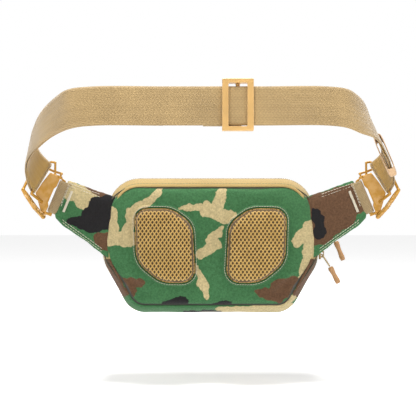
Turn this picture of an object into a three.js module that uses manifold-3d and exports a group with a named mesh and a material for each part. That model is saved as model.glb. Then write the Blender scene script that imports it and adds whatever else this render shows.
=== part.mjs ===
// Sling bag: a hip and cross-body bag with a camouflage cloth body, two lumbar pads and a webbing strap.
// Millimetres, +Z up. The wearer's side faces -Y. The origin is the middle of the flat base.
import * as THREE from "three";
import { mergeVertices } from "three/addons/utils/BufferGeometryUtils.js";
import Module from "manifold-3d";

const wasm = await Module();
wasm.setup();

// ---- Driving dimensions ----
const GAP = 0.3; // between pieces that touch
const CLOTH = 1.6; // outer cloth with its lining
const Y_BACK = -35; // wearer's face of the back panel
const Y_FRONT = 33; // outermost face of the front panel
const BULGE = 9.3; // how far the gusset stands out beyond the panels at mid depth
const Z_ZIP_END = 62; // lower ends of the main zipper
const Z_POCKET_END = 84; // lower ends of the pocket zipper
// Panel outline: half of its corners as [x, z, radius], from the top edge down to the base.
const PANEL_CORNERS = [
  [101, 142, 26],
  [113, 88, 90],
  [112, 60, 30],
  [84, 9.3, 18],
];
const Y_MAIN_ZIP = -10.5; // centre plane of the main zipper
const Y_POCKET_ZIP = 16.6; // centre plane of the pocket zipper
const COIL_WIDTH = 1.5; // one half of a zipper coil, along Y
const MAIN_BAND_FRONT = 1; // where the main zipper's front tape ends
const POCKET_BAND_REAR = 9; // where the pocket zipper's rear tape begins
const POCKET_BAND_FRONT = 23; // where the pocket zipper's front tape ends
const PANEL_THICKNESS = 2.7; // front panel with its padding
const FOAM_THICKNESS = 4.5;
const LINING = 1;

const PAD_X = 50.5; // pad centres, left and right
const PAD_TOP = 17; // height of a pad above the back panel
const PAD_BORDER = 3;
// Left pad outline as [x, z, radius] from the pad centre line.
const PAD_CORNERS = [
  [-35.5, 119, 12],
  [8, 119.3, 16],
  [32, 101.5, 14],
  [35.5, 33.8, 11],
  [-5, 33.8, 18],
  [-33.5, 57, 16],
];

const WEBBING = 38; // webbing width
const PLY = 1.5; // webbing thickness
const WING_THICKNESS = 6;
const WING_TILT = 0.16; // the wings lean towards the wearer, radians
// Left wing outline [x, z, radius]; the right wing mirrors it.
const WING_CORNERS = [
  [-104, 128.5, 2],
  [-104, 62, 2],
  [-117, 65, 6],
  [-169.5, 106, 7],
  [-152, 147, 6],
];

// Buckles: middle of the left wing bar, and the bar's lean from upright.
const BAR = [-170, -38.5, 130.3];
const BAR_LEAN = THREE.MathUtils.degToRad(23);
const BUCKLE_PLATE = 2.6;
const BUCKLE_ROD = 1.5; // radius of the rod that the strap turns round
const BAIL_PIVOT = 5.5; // distance of the bail's pivots from the wing bar

const GLIDE_X = 26; // tri-glide centre along the strap
const GLIDE_SIZE = [30.6, 50.4]; // outside, along X and Z
const GLIDE_OPENING = 42; // clear height between its two rails
const GLIDE_FRONT = -4.6; // its outer face and its rear face, from the plane of the strap
const GLIDE_BACK = 7.4;
const GLIDE_SIDE = 6.2; // width of a side bar
const GLIDE_SHEET = 2.4; // thickness of a side bar
const GLIDE_CENTRE_BAR = 5.8; // place of the centre bar, from the plane of the strap
const END_WRAP_LENGTH = 34; // strap end folded round the centre bar
const END_WRAP_INSIDE = 2.75;
const STRAP_Y = -175; // plane of the strap across the wearer's side
const STRAP_Z = 217; // middle height of the strap there

// Lower and upper edges of the strap, from the left buckle round to the right one.
const STRAP = [
  [[-193, -57, 136], [-177, -41, 167]],
  [[-197, -67, 146], [-187, -53, 179]],
  [[-197, -81, 158], [-191, -70, 194]],
  [[-189, -107, 170], [-182, -103, 207]],
  [[-175, -131, 180], [-170, -129, 218]],
  [[-157, -151, 190], [-154, -151, 228]],
  [[-136, -168, 196], [-139, -168, 234]],
  [[-113, STRAP_Y, 198], [-113, STRAP_Y, 236]],
  [[-46, STRAP_Y, 198], [-46, STRAP_Y, 236]],
  [[50, STRAP_Y, 198], [50, STRAP_Y, 236]],
  [[112, STRAP_Y, 198], [112, STRAP_Y, 236]],
  [[132, -171, 196], [132, -171, 234]],
  [[147, -163, 191], [144, -158, 229]],
  [[160, -151, 188], [154, -138, 223]],
  [[171, -134, 183], [161, -116, 215]],
  [[180, -111, 176], [168, -95, 208]],
  [[190, -87, 164], [177, -74, 198]],
  [[197, -67, 146], [187, -53, 179]],
  [[193, -57, 136], [177, -41, 167]],
];
const RETURN_END = 8; // the second ply runs from the left buckle to this station
const TAIL_START = 15.4; // the free tail lies between this station and the right buckle
const KEEPER_SPAN = [16, 16.7];
const KEEPER_OUTSIDE = [-4.6, 5.6]; // the keeper's outer faces across the strap
const KEEPER_INSIDE = [-3.4, 4.4]; // its opening
const KEEPER_MARGIN = [2.4, 1.2]; // how far each stands past the strap's edges
const PLY_MAIN = -0.85; // the main ply's place across the strap, inwards is positive
const PLY_INNER = 1;

const MAIN_SLIDER = [123, Y_MAIN_ZIP, 66]; // inner face, middle
const POCKET_SLIDER = [122.3, Y_POCKET_ZIP, 90];
const MAIN_PULL = [[128.4, 64], [135.3, 51.8], [144.9, 33.3]]; // hinge, cord end and grip end, as [x, z]
const POCKET_PULL = [[127.7, 88], [145.3, 80], [153.9, 58]];

// ---- Shape tools ----
const vec = (x, y, z) => new THREE.Vector3(x, y, z);

function geometry(points, faces) {
  const made = new THREE.BufferGeometry();
  made.setAttribute("position", new THREE.Float32BufferAttribute(points.flatMap((p) => [p.x, p.y, p.z]), 3));
  made.setIndex(faces);
  return outward(made);
}

function signedVolume(made) {
  const p = made.attributes.position;
  const [a, b, c] = [vec(), vec(), vec()];
  let sum = 0;
  for (let i = 0; i < made.index.count; i += 3) {
    a.fromBufferAttribute(p, made.index.getX(i));
    b.fromBufferAttribute(p, made.index.getX(i + 1));
    c.fromBufferAttribute(p, made.index.getX(i + 2));
    sum += a.dot(b.cross(c)) / 6;
  }
  return sum;
}

function outward(made) {
  if (signedVolume(made) < 0) made.index.array.reverse();
  return made;
}

// Joins equal sections, each a list of Vector3, into one closed body; a ring joins the last to the first.
// The faces of side "turned" are split along their other diagonal.
function loft(sections, ring = false, turned = -1) {
  const k = sections[0].length;
  const points = sections.flat();
  const faces = [];
  const spans = ring ? sections.length : sections.length - 1;
  for (let s = 0; s < spans; s++) {
    for (let i = 0; i < k; i++) {
      const a = s * k + i;
      const b = s * k + ((i + 1) % k);
      const c = ((s + 1) % sections.length) * k + ((i + 1) % k);
      const d = ((s + 1) % sections.length) * k + i;
      if (i === turned) faces.push(a, b, d, b, c, d);
      else faces.push(a, b, c, a, c, d);
    }
  }
  if (!ring) {
    const last = (sections.length - 1) * k;
    const centre = (list) => list.reduce((sum, p) => sum.add(p), vec(0, 0, 0)).divideScalar(k);
    points.push(centre(sections[0]), centre(sections.at(-1)));
    for (let i = 0; i < k; i++) {
      const j = (i + 1) % k;
      faces.push(points.length - 2, j, i, points.length - 1, last + i, last + j);
    }
  }
  return geometry(points, faces);
}

function solid(made) {
  const bare = made.index ? made.toNonIndexed() : made.clone();
  bare.deleteAttribute("normal");
  bare.deleteAttribute("uv");
  const merged = mergeVertices(bare, 1e-4);
  const mesh = { numProp: 3, vertProperties: merged.attributes.position.array };
  return new wasm.Manifold(new wasm.Mesh({ ...mesh, triVerts: new Uint32Array(merged.index.array) }));
}

function fromSolid(body) {
  const mesh = body.getMesh();
  const made = new THREE.BufferGeometry();
  made.setAttribute("position", new THREE.BufferAttribute(new Float32Array(mesh.vertProperties), 3));
  made.setIndex(Array.from(mesh.triVerts));
  return made;
}

const cut = (made, ...tools) => fromSolid(tools.reduce((body, tool) => body.subtract(solid(tool)), solid(made)));
const join = (...parts) => fromSolid(parts.slice(1).reduce((body, part) => body.add(solid(part)), solid(parts[0])));

function box(low, high) {
  const size = high.clone().sub(low);
  return new THREE.BoxGeometry(size.x, size.y, size.z).translate(...low.clone().add(high).divideScalar(2).toArray());
}

const BIG = 400;
const above = (z) => box(vec(-BIG, -BIG, z), vec(BIG, BIG, BIG));
const below = (z) => box(vec(-BIG, -BIG, -BIG), vec(BIG, BIG, z));

// Evenly rounded corners [x, z, radius], given in order, as points with outward normals.
function roundedOutline(corners, steps) {
  const n = corners.length;
  const outline = [];
  corners.forEach(([x, z, radius], i) => {
    const at = new THREE.Vector2(x, z);
    const toPrevious = new THREE.Vector2(...corners[(i + n - 1) % n]).sub(at).normalize();
    const toNext = new THREE.Vector2(...corners[(i + 1) % n]).sub(at).normalize();
    const half = Math.acos(toPrevious.dot(toNext)) / 2;
    const middle = toPrevious.clone().add(toNext).normalize();
    const centre = at.clone().addScaledVector(middle, radius / Math.sin(half));
    const start = at.clone().addScaledVector(toPrevious, radius / Math.tan(half)).sub(centre).angle();
    const turn = toPrevious.cross(toNext) > 0 ? -(Math.PI - 2 * half) : Math.PI - 2 * half;
    for (let s = 0; s <= steps; s++) {
      const angle = start + (turn * s) / steps;
      const normal = new THREE.Vector2(Math.cos(angle), Math.sin(angle));
      outline.push({ x: centre.x + normal.x * radius, z: centre.y + normal.y * radius, nx: normal.x, nz: normal.y });
    }
  });
  return outline;
}

const mirrored = (corners) => corners.map(([x, z, radius]) => [-x, z, radius]).reverse();
const PANEL = roundedOutline([...PANEL_CORNERS, ...mirrored(PANEL_CORNERS)], 5);

// Gusset bulge at a depth: none at the panels, even across the middle, so that the base is flat there.
const bulge = (y) => BULGE * Math.min(1, 1.12 * (1 - Math.pow(Math.abs(y / 35), 2.6)));

// A wall that follows an outline; the profile lists [offset, y] corners of its cross-section.
const wall = (outline, profile) =>
  loft(
    outline.map((p) => profile.map(([offset, y]) => vec(p.x + p.nx * offset, y, p.z + p.nz * offset))),
    true,
  );

// A gusset wall from one depth to another, a cloth's thickness inside the bulging surface.
function gusset(yFrom, yTo, { out = 0, thickness = CLOTH, steps = 2 } = {}) {
  const depths = Array.from({ length: steps + 1 }, (_, i) => yFrom + ((yTo - yFrom) * i) / steps);
  const outer = depths.map((y) => [bulge(y) + out, y]);
  const inner = depths.map((y) => [bulge(y) + out - thickness, y]).reverse();
  return wall(PANEL, [...outer, ...inner]);
}

// A plate that follows an outline, between two depths.
const plate = (outline, offset, yFrom, yTo) =>
  loft([yFrom, yTo].map((y) => outline.map((p) => vec(p.x + p.nx * offset, y, p.z + p.nz * offset))));

// Place on the strap at a station, which may be fractional.
const LOW_EDGE = new THREE.CatmullRomCurve3(STRAP.map(([p]) => vec(...p)), false, "centripetal");
const HIGH_EDGE = new THREE.CatmullRomCurve3(STRAP.map(([, p]) => vec(...p)), false, "centripetal");

function strapFrame(station) {
  const t = station / (STRAP.length - 1);
  const low = LOW_EDGE.getPoint(t);
  const high = HIGH_EDGE.getPoint(t);
  const travel = LOW_EDGE.getTangent(t).add(HIGH_EDGE.getTangent(t)).normalize();
  const across = high.clone().sub(low).normalize();
  return { low, high, across, travel, inward: across.clone().cross(travel).normalize() };
}

// A flat band that follows the strap; outer and inner say how far its faces stand off along "inward".
// Every band steps at the same places, so that neighbouring plies stay evenly apart.
const STEPS_PER_STATION = 3;

function band(from, to, outer, inner, grow = 0) {
  const stations = [from];
  for (let i = Math.floor(from * STEPS_PER_STATION) + 1; i / STEPS_PER_STATION < to; i++) {
    stations.push(i / STEPS_PER_STATION);
  }
  stations.push(to);
  const sections = stations.map((station) => {
    const { low, high, across, inward } = strapFrame(station);
    const at = (edge, side, depth) => edge.clone().addScaledVector(across, side * grow).addScaledVector(inward, depth);
    const [a, b] = [outer(station), inner(station)];
    return [at(low, -1, a), at(high, 1, a), at(high, 1, b), at(low, -1, b)];
  });
  return loft(sections, false, 2);
}

// The main ply stands off near each buckle, to turn round the buckle's rod.
const SPREAD = BUCKLE_ROD * 2 + PLY + 2 * 0.35;
const LAST = STRAP.length - 1;
const nearBuckle = (s) => THREE.MathUtils.smoothstep(Math.max(1.5 - s, s - (LAST - 1.5)), 0, 1.5);
const mainPly = (s) => PLY_MAIN - (SPREAD - PLY_INNER + PLY_MAIN) * nearBuckle(s);
const rodDepth = PLY_INNER - SPREAD / 2;

// A closed strip of webbing folded round a bar, as a flat hairpin in the X-Y plane, extruded along Z.
function hairpin(length, inside, width) {
  const outer = inside + PLY;
  const shape = new THREE.Shape();
  shape.moveTo(-length, outer);
  shape.lineTo(0, outer);
  shape.absarc(0, 0, outer, Math.PI / 2, -Math.PI / 2, true);
  shape.lineTo(-length, -outer);
  shape.lineTo(-length, -inside);
  shape.lineTo(0, -inside);
  shape.absarc(0, 0, inside, -Math.PI / 2, Math.PI / 2, false);
  shape.lineTo(-length, inside);
  const made = new THREE.ExtrudeGeometry(shape, { depth: width, bevelEnabled: false, curveSegments: 6 });
  return made.translate(0, 0, -width / 2);
}

function bar(from, to, radius, sides = 10) {
  const made = new THREE.CylinderGeometry(radius, radius, from.distanceTo(to), sides);
  const turn = new THREE.Quaternion().setFromUnitVectors(vec(0, 1, 0), to.clone().sub(from).normalize());
  return made.applyQuaternion(turn).translate(...from.clone().add(to).divideScalar(2).toArray());
}

// ---- Materials ----
const finish = (colour, roughness, metalness = 0) =>
  new THREE.MeshStandardMaterial({ color: colour, roughness, metalness });
const CAMO = () => finish(0x3c7348, 0.9);
const COYOTE = () => finish(0xa98a4c, 0.85);
const MESH_CLOTH = () => finish(0xb98f43, 0.9);
const FOAM = () => finish(0x333333, 0.95);
const LINER = () => finish(0x4a4a44, 0.8);
const COIL = () => finish(0x9c7f45, 0.6);
const STRAP_CLOTH = () => finish(0xc3a068, 0.8);
const METAL = () => finish(0xc9913f, 0.45, 0.3);
const GRIP = () => finish(0xd2a878, 0.6);

const bag = new THREE.Group();
const add = (name, made, material) => {
  const mesh = new THREE.Mesh(made, material);
  mesh.name = name;
  bag.add(mesh);
};

// ---- Bag shell ----
function addBack() {
  add("back_panel", plate(PANEL, 0, Y_BACK, Y_BACK + CLOTH), CAMO());
  const foamFrom = Y_BACK + CLOTH + GAP;
  const foamTo = foamFrom + FOAM_THICKNESS;
  add("back_foam", plate(PANEL, -5, foamFrom, foamTo), FOAM());
  add("back_lining", plate(PANEL, -3.5, foamTo + GAP, foamTo + GAP + LINING), LINER());
}

function addGussets() {
  const rear = Y_BACK + CLOTH + GAP;
  const front = Y_FRONT - PANEL_THICKNESS - GAP;
  const coil = { out: -0.1, thickness: 1.3, steps: 1 };
  const mainCoil = (side) => Y_MAIN_ZIP + side * (GAP / 2);
  const pocketCoil = (side) => Y_POCKET_ZIP + side * (GAP / 2);
  const coilWithGap = COIL_WIDTH + GAP * 1.5;
  add("lower_gusset", cut(gusset(rear, front, { steps: 6 }), above(Z_ZIP_END - GAP / 2)), CAMO());

  const overZip = (made) => cut(made, below(Z_ZIP_END + GAP / 2));
  add("main_zipper_rear_tape", overZip(gusset(rear, Y_MAIN_ZIP - coilWithGap, { steps: 3 })), COYOTE());
  add("main_zipper_rear_coil", overZip(gusset(mainCoil(-1) - COIL_WIDTH, mainCoil(-1), coil)), COIL());
  add("main_zipper_front_coil", overZip(gusset(mainCoil(1), mainCoil(1) + COIL_WIDTH, coil)), COIL());
  add("main_zipper_front_tape", overZip(gusset(Y_MAIN_ZIP + coilWithGap, MAIN_BAND_FRONT - GAP)), COYOTE());

  const notch = box(vec(-BIG, POCKET_BAND_REAR - GAP, Z_POCKET_END - GAP / 2), vec(BIG, BIG, BIG));
  add("middle_gusset", cut(gusset(MAIN_BAND_FRONT, front, { steps: 4 }), below(Z_ZIP_END + GAP / 2), notch), CAMO());

  const overPocket = (made) => cut(made, below(Z_POCKET_END + GAP / 2));
  add("pocket_zipper_rear_tape", overPocket(gusset(POCKET_BAND_REAR, Y_POCKET_ZIP - coilWithGap)), COYOTE());
  add("pocket_zipper_rear_coil", overPocket(gusset(pocketCoil(-1) - COIL_WIDTH, pocketCoil(-1), coil)), COIL());
  add("pocket_zipper_front_coil", overPocket(gusset(pocketCoil(1), pocketCoil(1) + COIL_WIDTH, coil)), COIL());
  add("pocket_zipper_front_tape", overPocket(gusset(Y_POCKET_ZIP + coilWithGap, POCKET_BAND_FRONT - GAP)), COYOTE());
  add("pocket_gusset", overPocket(gusset(POCKET_BAND_FRONT, front)), CAMO());
  add("front_panel", plate(PANEL, bulge(front) - 0.5, Y_FRONT - PANEL_THICKNESS, Y_FRONT), CAMO());
  add("pocket_divider", plate(PANEL, 0, POCKET_BAND_REAR - 4, POCKET_BAND_REAR - 4 + LINING), LINER());
}

// ---- Lumbar pads ----
function padOutline(side) {
  const corners = PAD_CORNERS.map(([x, z, radius]) => [-side * (x - PAD_X), z, radius]);
  return roundedOutline(corners, 4);
}

function addPad(name, side) {
  const outline = padOutline(side);
  const base = Y_BACK - GAP;
  const top = Y_BACK - PAD_TOP;
  const level = (inset, y) => outline.map((p) => vec(p.x - p.nx * inset, y, p.z - p.nz * inset));
  add(`${name}_pad_border`, plate(outline, 0, base - PAD_BORDER, base), CAMO());
  const seat = base - PAD_BORDER - GAP;
  const foam = (grow) =>
    loft([level(6 - grow, seat + grow), level(6 - grow, top + 7), level(9 - grow, top + 3 - grow)]);
  add(`${name}_pad_foam`, foam(0), FOAM());
  const cover = loft([level(2.5, seat), level(2.5, top + 7), level(4.5, top + 3), level(9, top)]);
  add(`${name}_pad_mesh`, cut(cover, foam(GAP)), MESH_CLOTH());
}

// ---- Wings ----
function addWing(name, side) {
  const corners = WING_CORNERS.map(([x, z, radius]) => [-side * x, z, radius]);
  const outline = roundedOutline(corners, 4);
  const yRoot = Y_BACK + 6;
  const lean = (x) => yRoot - Math.tan(WING_TILT) * (Math.abs(x) - 112);
  const face = (offset) => outline.map((p) => vec(p.x, lean(p.x) + offset, p.z));
  const block = loft([face(-WING_THICKNESS / 2), face(WING_THICKNESS / 2)]);
  const clearance = plate(PANEL, bulge(-26) + GAP, -60, 0);
  add(`${name}_wing`, cut(block, clearance), CAMO());
}

// ---- Buckles ----
// A buckle's own frame: u along the wing bar, v outwards along the strap, n towards the wearer.
function buckleFrame(side) {
  const u = vec(Math.sin(BAR_LEAN), 0, Math.cos(BAR_LEAN));
  const v = vec(-Math.cos(BAR_LEAN) * Math.cos(WING_TILT), -Math.sin(WING_TILT), Math.sin(BAR_LEAN));
  const n = u.clone().cross(v).normalize();
  return ([along, out, up]) => {
    const p = vec(...BAR).addScaledVector(u, along).addScaledVector(v, out).addScaledVector(n, up);
    return vec(-side * p.x, p.y, p.z);
  };
}

const buckleSlab = (at, points, low, high) => loft([low, high].map((n) => points.map(([u, v]) => at([u, v, n]))));

// The rod's two ends: the middle of the strap's fold, a little past each edge of the webbing.
function rodEnds(side) {
  const { low, high, across, inward } = strapFrame(side < 0 ? 0 : LAST);
  const shift = inward.clone().multiplyScalar(rodDepth);
  return [low.clone().addScaledVector(across, -2.8).add(shift), high.clone().addScaledVector(across, 2.4).add(shift)];
}

function addBuckle(name, side) {
  const at = buckleFrame(side);
  const half = BUCKLE_PLATE / 2;
  const slot = WEBBING / 2 + 0.5;
  const outline = [[-22.6, -2.2], [20, -2.2], [22.6, 6.9], [21.5, 16], [-4, 19], [-22.6, 8.7]];
  const face = buckleSlab(at, outline, -half, half);
  const opening = [[-slot, 2], [slot, 2], [slot, 6.8], [-slot, 6.8]];
  const boss = (end) => bar(at([end * (slot + 0.4), BAIL_PIVOT, 0]), at([end * 22.8, BAIL_PIVOT, 0]), 2.6);
  const bore = (end) => bar(at([end * 20.6, BAIL_PIVOT, 0]), at([end * 24, BAIL_PIVOT, 0]), 1.5);
  const [rodLow, rodHigh] = rodEnds(side);
  const shoulder = at([34.2, 16.5, -1]);
  const struts = [
    bar(rodLow, rodHigh, BUCKLE_ROD),
    bar(at([-12, 12.5, 0]), rodLow, 1.7),
    bar(at([20.5, 11, 0]), shoulder, 1.3),
    ball(shoulder, 1.4),
    bar(shoulder, rodHigh, 1.3),
  ];
  const body = cut(join(face, boss(-1), boss(1)), buckleSlab(at, opening, -3, 3), bore(-1), bore(1));
  add(`${name}_buckle_body`, join(body, ...struts), METAL());
  addBail(name, side, at);
  addWingLoop(name, side);
}

// The bail straddles the strap outside the plate and swings on two stub pins.
function addBail(name, side, at) {
  const { low, high, across, inward } = strapFrame(side < 0 ? 0.55 : LAST - 0.55);
  const outside = (edge, along) => edge.clone().addScaledVector(across, along).addScaledVector(inward, -8.8);
  const lower = [at([-26, BAIL_PIVOT, 0]), at([-19.5, 18, 10.7]), outside(low, -4.4)];
  const upper = [at([25.6, BAIL_PIVOT, 0]), at([24.5, 13, -10.5]), outside(high, -8)];
  const parts = [
    bar(lower[0], at([-21, BAIL_PIVOT, 0]), 1.2),
    bar(upper[0], at([21, BAIL_PIVOT, 0]), 1.2),
    bar(lower[0], lower[1], 2),
    bar(lower[1], lower[2], 2),
    bar(upper[0], upper[1], 1.4),
    bar(upper[1], upper[2], 1.4),
    bar(lower[2], upper[2], 1.6),
    ...lower.map((p) => ball(p, 2.1)),
    ...upper.map((p) => ball(p, 1.7)),
  ];
  add(`${name}_buckle_bail`, join(...parts), METAL());
}

const ball = (centre, radius) => new THREE.SphereGeometry(radius, 10, 6).translate(...centre.toArray());

// The wing's webbing, folded round the wing bar.
function addWingLoop(name, side) {
  const at = buckleFrame(side);
  const [reach, inside, turns] = [7.2, 2.85, 8];
  const arc = (radius) => Array.from({ length: turns + 1 }, (_, i) => {
    const angle = Math.PI / 2 - (Math.PI * i) / turns;
    return [Math.cos(angle) * radius, Math.sin(angle) * radius];
  });
  const profile = [
    [-reach, inside + PLY],
    ...arc(inside + PLY),
    [-reach, -inside - PLY],
    [-reach, -inside],
    ...arc(inside).reverse(),
    [-reach, inside],
  ];
  const shape = new THREE.Shape(profile.map(([v, n]) => new THREE.Vector2(v, n)));
  const strip = new THREE.ExtrudeGeometry(shape, { depth: WEBBING - 0.6, bevelEnabled: false });
  const place = strip.attributes.position;
  const point = vec(0, 0, 0);
  for (let i = 0; i < place.count; i++) {
    point.fromBufferAttribute(place, i);
    place.setXYZ(i, ...at([point.z - WEBBING / 2 + 0.3, point.x, point.y]).toArray());
  }
  const bare = mergeVertices(stripped(strip), 1e-4);
  add(`${name}_wing_loop`, outward(bare), STRAP_CLOTH());
}

function stripped(made) {
  made.deleteAttribute("normal");
  made.deleteAttribute("uv");
  return made;
}

// ---- Strap ----
function foldRoundRod(side) {
  const station = side < 0 ? 0 : LAST;
  const { low, high, travel, inward } = strapFrame(station);
  const away = travel.clone().multiplyScalar(side);
  const steps = 8;
  const ring = (edge) => {
    const centre = edge.clone().addScaledVector(inward, rodDepth);
    const place = (across, out) => centre.clone().addScaledVector(inward, across).addScaledVector(away, out);
    const arc = (radius) => {
      const turn = Array.from({ length: steps + 1 }, (_, i) => Math.PI / 2 - (Math.PI * i) / steps);
      return [...turn.map((angle) => place(Math.sin(angle) * radius, Math.cos(angle) * radius)), place(-radius, -1)];
    };
    return [...arc((SPREAD + PLY) / 2), ...arc((SPREAD - PLY) / 2).reverse()];
  };
  return loftHalfRing([ring(low), ring(high)]);
}

// Joins two equal half-ring sections; the end faces are strips between the two arcs.
function loftHalfRing([first, second]) {
  const k = first.length;
  const faces = [];
  for (let i = 0; i < k; i++) {
    const j = (i + 1) % k;
    faces.push(i, j, k + j, i, k + j, k + i);
  }
  for (let i = 0; i < k / 2 - 1; i++) {
    const [a, b, c, d] = [i, i + 1, k - 2 - i, k - 1 - i];
    faces.push(a, c, b, a, d, c, k + a, k + b, k + c, k + a, k + c, k + d);
  }
  return geometry([...first, ...second], faces);
}

function addStrap() {
  const main = band(0, LAST, (s) => mainPly(s) - PLY / 2, (s) => mainPly(s) + PLY / 2);
  add("strap_webbing", join(main, foldRoundRod(-1), foldRoundRod(1)), STRAP_CLOTH());
  const inner = [() => PLY_INNER - PLY / 2, () => PLY_INNER + PLY / 2];
  add("strap_return", band(0.04, RETURN_END, ...inner), STRAP_CLOTH());
  add("strap_tail", band(TAIL_START, LAST - 0.04, ...inner), STRAP_CLOTH());
  const [from, to] = KEEPER_SPAN;
  const outside = band(from, to, ...KEEPER_OUTSIDE.map((place) => () => place), KEEPER_MARGIN[0]);
  const inside = band(from - 0.2, to + 0.2, ...KEEPER_INSIDE.map((place) => () => place), KEEPER_MARGIN[1]);
  add("strap_keeper", cut(outside, inside), GRIP());
}

function addTriGlide() {
  const [width, height] = GLIDE_SIZE;
  const z = STRAP_Z + 1.2;
  const left = GLIDE_X - width / 2;
  const right = GLIDE_X + width / 2;
  const front = STRAP_Y + GLIDE_FRONT;
  const back = STRAP_Y + GLIDE_BACK;
  const rail = (height - GLIDE_OPENING) / 2;
  const open = GLIDE_OPENING / 2;
  const middleY = STRAP_Y + GLIDE_CENTRE_BAR;
  const frame = join(
    box(vec(left, front, z + open), vec(right, back, z + open + rail)),
    box(vec(left, front, z - open - rail), vec(right, back, z - open)),
    box(vec(left, front, z - open - 1), vec(left + GLIDE_SIDE, front + GLIDE_SHEET, z + open + 1)),
    box(vec(right - GLIDE_SIDE, front, z - open - 1), vec(right, front + GLIDE_SHEET, z + open + 1)),
    box(vec(GLIDE_X - 2, middleY - 1.5, z - open - 1), vec(GLIDE_X + 2, middleY + 1.5, z + open + 1)),
  );
  add("tri_glide", frame, METAL());
  const wrap = hairpin(END_WRAP_LENGTH, END_WRAP_INSIDE, WEBBING).translate(GLIDE_X, middleY, STRAP_Z);
  add("strap_end_wrap", outward(mergeVertices(stripped(wrap), 1e-4)), STRAP_CLOTH());
}

// ---- Zipper sliders and pulls ----
function addSlider(name, [x, y, z]) {
  const section = (dx, half, length) => [
    vec(x + dx, y - half, z - length),
    vec(x + dx, y + half, z - length),
    vec(x + dx, y + half + 0.8, z + length),
    vec(x + dx, y - half - 0.8, z + length),
  ];
  const body = loft([section(0, 3.2, 6), section(2, 3.2, 6)]);
  const bridge = (dz) => box(vec(x + 1.9, y - 1, z + dz - 0.8), vec(x + 5.6, y + 1, z + dz + 0.8));
  const top = box(vec(x + 4.8, y - 1, z - 4.2), vec(x + 5.8, y + 1, z + 3.2));
  add(`${name}_slider`, join(body, bridge(-3.4), bridge(2.4), top), METAL());
}

function addPull(name, [x, y], [hinge, cordEnd, gripEnd]) {
  const at = ([px, pz]) => vec(px, y, pz);
  const start = vec(x + 3.4, y, hinge[1] + 1.4);
  const cord = join(
    bar(vec(start.x, y - 2.9, start.z), vec(start.x, y + 2.9, start.z), 0.8, 8),
    bar(vec(start.x, y - 2.4, start.z), at(cordEnd).setY(y - 1), 0.9, 8),
    bar(vec(start.x, y + 2.4, start.z), at(cordEnd).setY(y + 1), 0.9, 8),
  );
  add(`${name}_pull_cord`, cord, STRAP_CLOTH());
  const axis = at(gripEnd).sub(at(cordEnd));
  const length = axis.length();
  axis.normalize();
  const waist = [[0, 0], [2.8, 0], [3.3, 0.12], [2.5, 0.45], [3.2, 0.85], [2.6, 1], [0, 1]];
  const turned = new THREE.LatheGeometry(waist.map(([r, t]) => new THREE.Vector2(r, t * (length - GAP))), 12);
  turned.applyQuaternion(new THREE.Quaternion().setFromUnitVectors(vec(0, 1, 0), axis));
  turned.translate(...at(cordEnd).addScaledVector(axis, GAP + 0.6).toArray());
  add(`${name}_pull_grip`, outward(mergeVertices(stripped(turned), 1e-4)), GRIP());
}

// ---- Assembly ----
addBack();
addGussets();
for (const [name, side] of [["left", -1], ["right", 1]]) {
  addPad(name, side);
  addWing(name, side);
  addBuckle(name, side);
}
addStrap();
addTriGlide();
addSlider("main", MAIN_SLIDER);
addPull("main", MAIN_SLIDER, MAIN_PULL);
addSlider("pocket", POCKET_SLIDER);
addPull("pocket", POCKET_SLIDER, POCKET_PULL);

export default bag;
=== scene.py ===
"""Sling bag in camouflage cloth, from the wearer's side: panels, pads, webbing, hardware and zippers."""

import math

import bmesh
import bpy
import numpy as np
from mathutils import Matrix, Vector, noise


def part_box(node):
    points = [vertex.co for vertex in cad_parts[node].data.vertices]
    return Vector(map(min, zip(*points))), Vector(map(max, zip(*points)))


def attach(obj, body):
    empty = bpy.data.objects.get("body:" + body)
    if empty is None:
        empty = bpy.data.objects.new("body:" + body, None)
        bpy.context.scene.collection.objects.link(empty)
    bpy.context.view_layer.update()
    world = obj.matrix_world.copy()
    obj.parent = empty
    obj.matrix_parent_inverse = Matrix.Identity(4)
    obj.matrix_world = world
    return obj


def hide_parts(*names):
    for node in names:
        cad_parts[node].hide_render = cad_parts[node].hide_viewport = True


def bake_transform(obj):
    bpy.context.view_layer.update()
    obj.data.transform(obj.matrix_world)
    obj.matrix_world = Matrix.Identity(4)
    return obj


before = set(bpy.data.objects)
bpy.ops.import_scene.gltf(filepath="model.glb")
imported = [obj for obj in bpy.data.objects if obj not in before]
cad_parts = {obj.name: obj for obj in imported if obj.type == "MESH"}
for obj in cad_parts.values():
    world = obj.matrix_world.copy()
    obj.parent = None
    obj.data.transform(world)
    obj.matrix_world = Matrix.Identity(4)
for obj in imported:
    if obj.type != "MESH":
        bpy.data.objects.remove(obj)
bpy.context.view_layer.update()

MM = 0.001

# ---- Driving dimensions, in millimetres, mostly as in the CAD model ----
Y_BACK = -35
Y_FRONT = 33
BULGE = 9.3
FLAT_SHARE = 1.12
FALL_POWER = 2.6
HALF_DEPTH = 35
Z_ZIP_END = 62
Z_POCKET_END = 84
PANEL_CORNERS = [(101, 142, 26), (113, 88, 90), (112, 60, 30), (84, 9.3, 18)]
Y_MAIN_ZIP = -10.5
Y_POCKET_ZIP = 16.6
PAD_X = 50.5
PAD_CORNERS = [
    (-35.5, 119, 15), (8, 119.3, 30), (32, 101.5, 24),
    (35.5, 33.8, 16), (-5, 33.8, 34), (-33.5, 57, 30),
]
PAD_GROW = 2.4  # how far the visible border stands out beyond PAD_CORNERS
PAD_SEAT = Y_BACK - 3.6
WEBBING = 38
PLY = 1.5
WING_TILT = 0.16
WING_ROOT_X = 112
WING_SETBACK = 6
BUCKLE_LEAN = math.radians(23)
BUCKLE_BAR = (-170, -38.5, 130.3)
WING_CORNERS = [
    (-104, 130, 2), (-104, 60, 2), (-117, 63, 6),
    (-164, 98, 10), (-174, 109, 5), (-158.5, 149.5, 3),
]
STRAP_Y = -175
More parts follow.
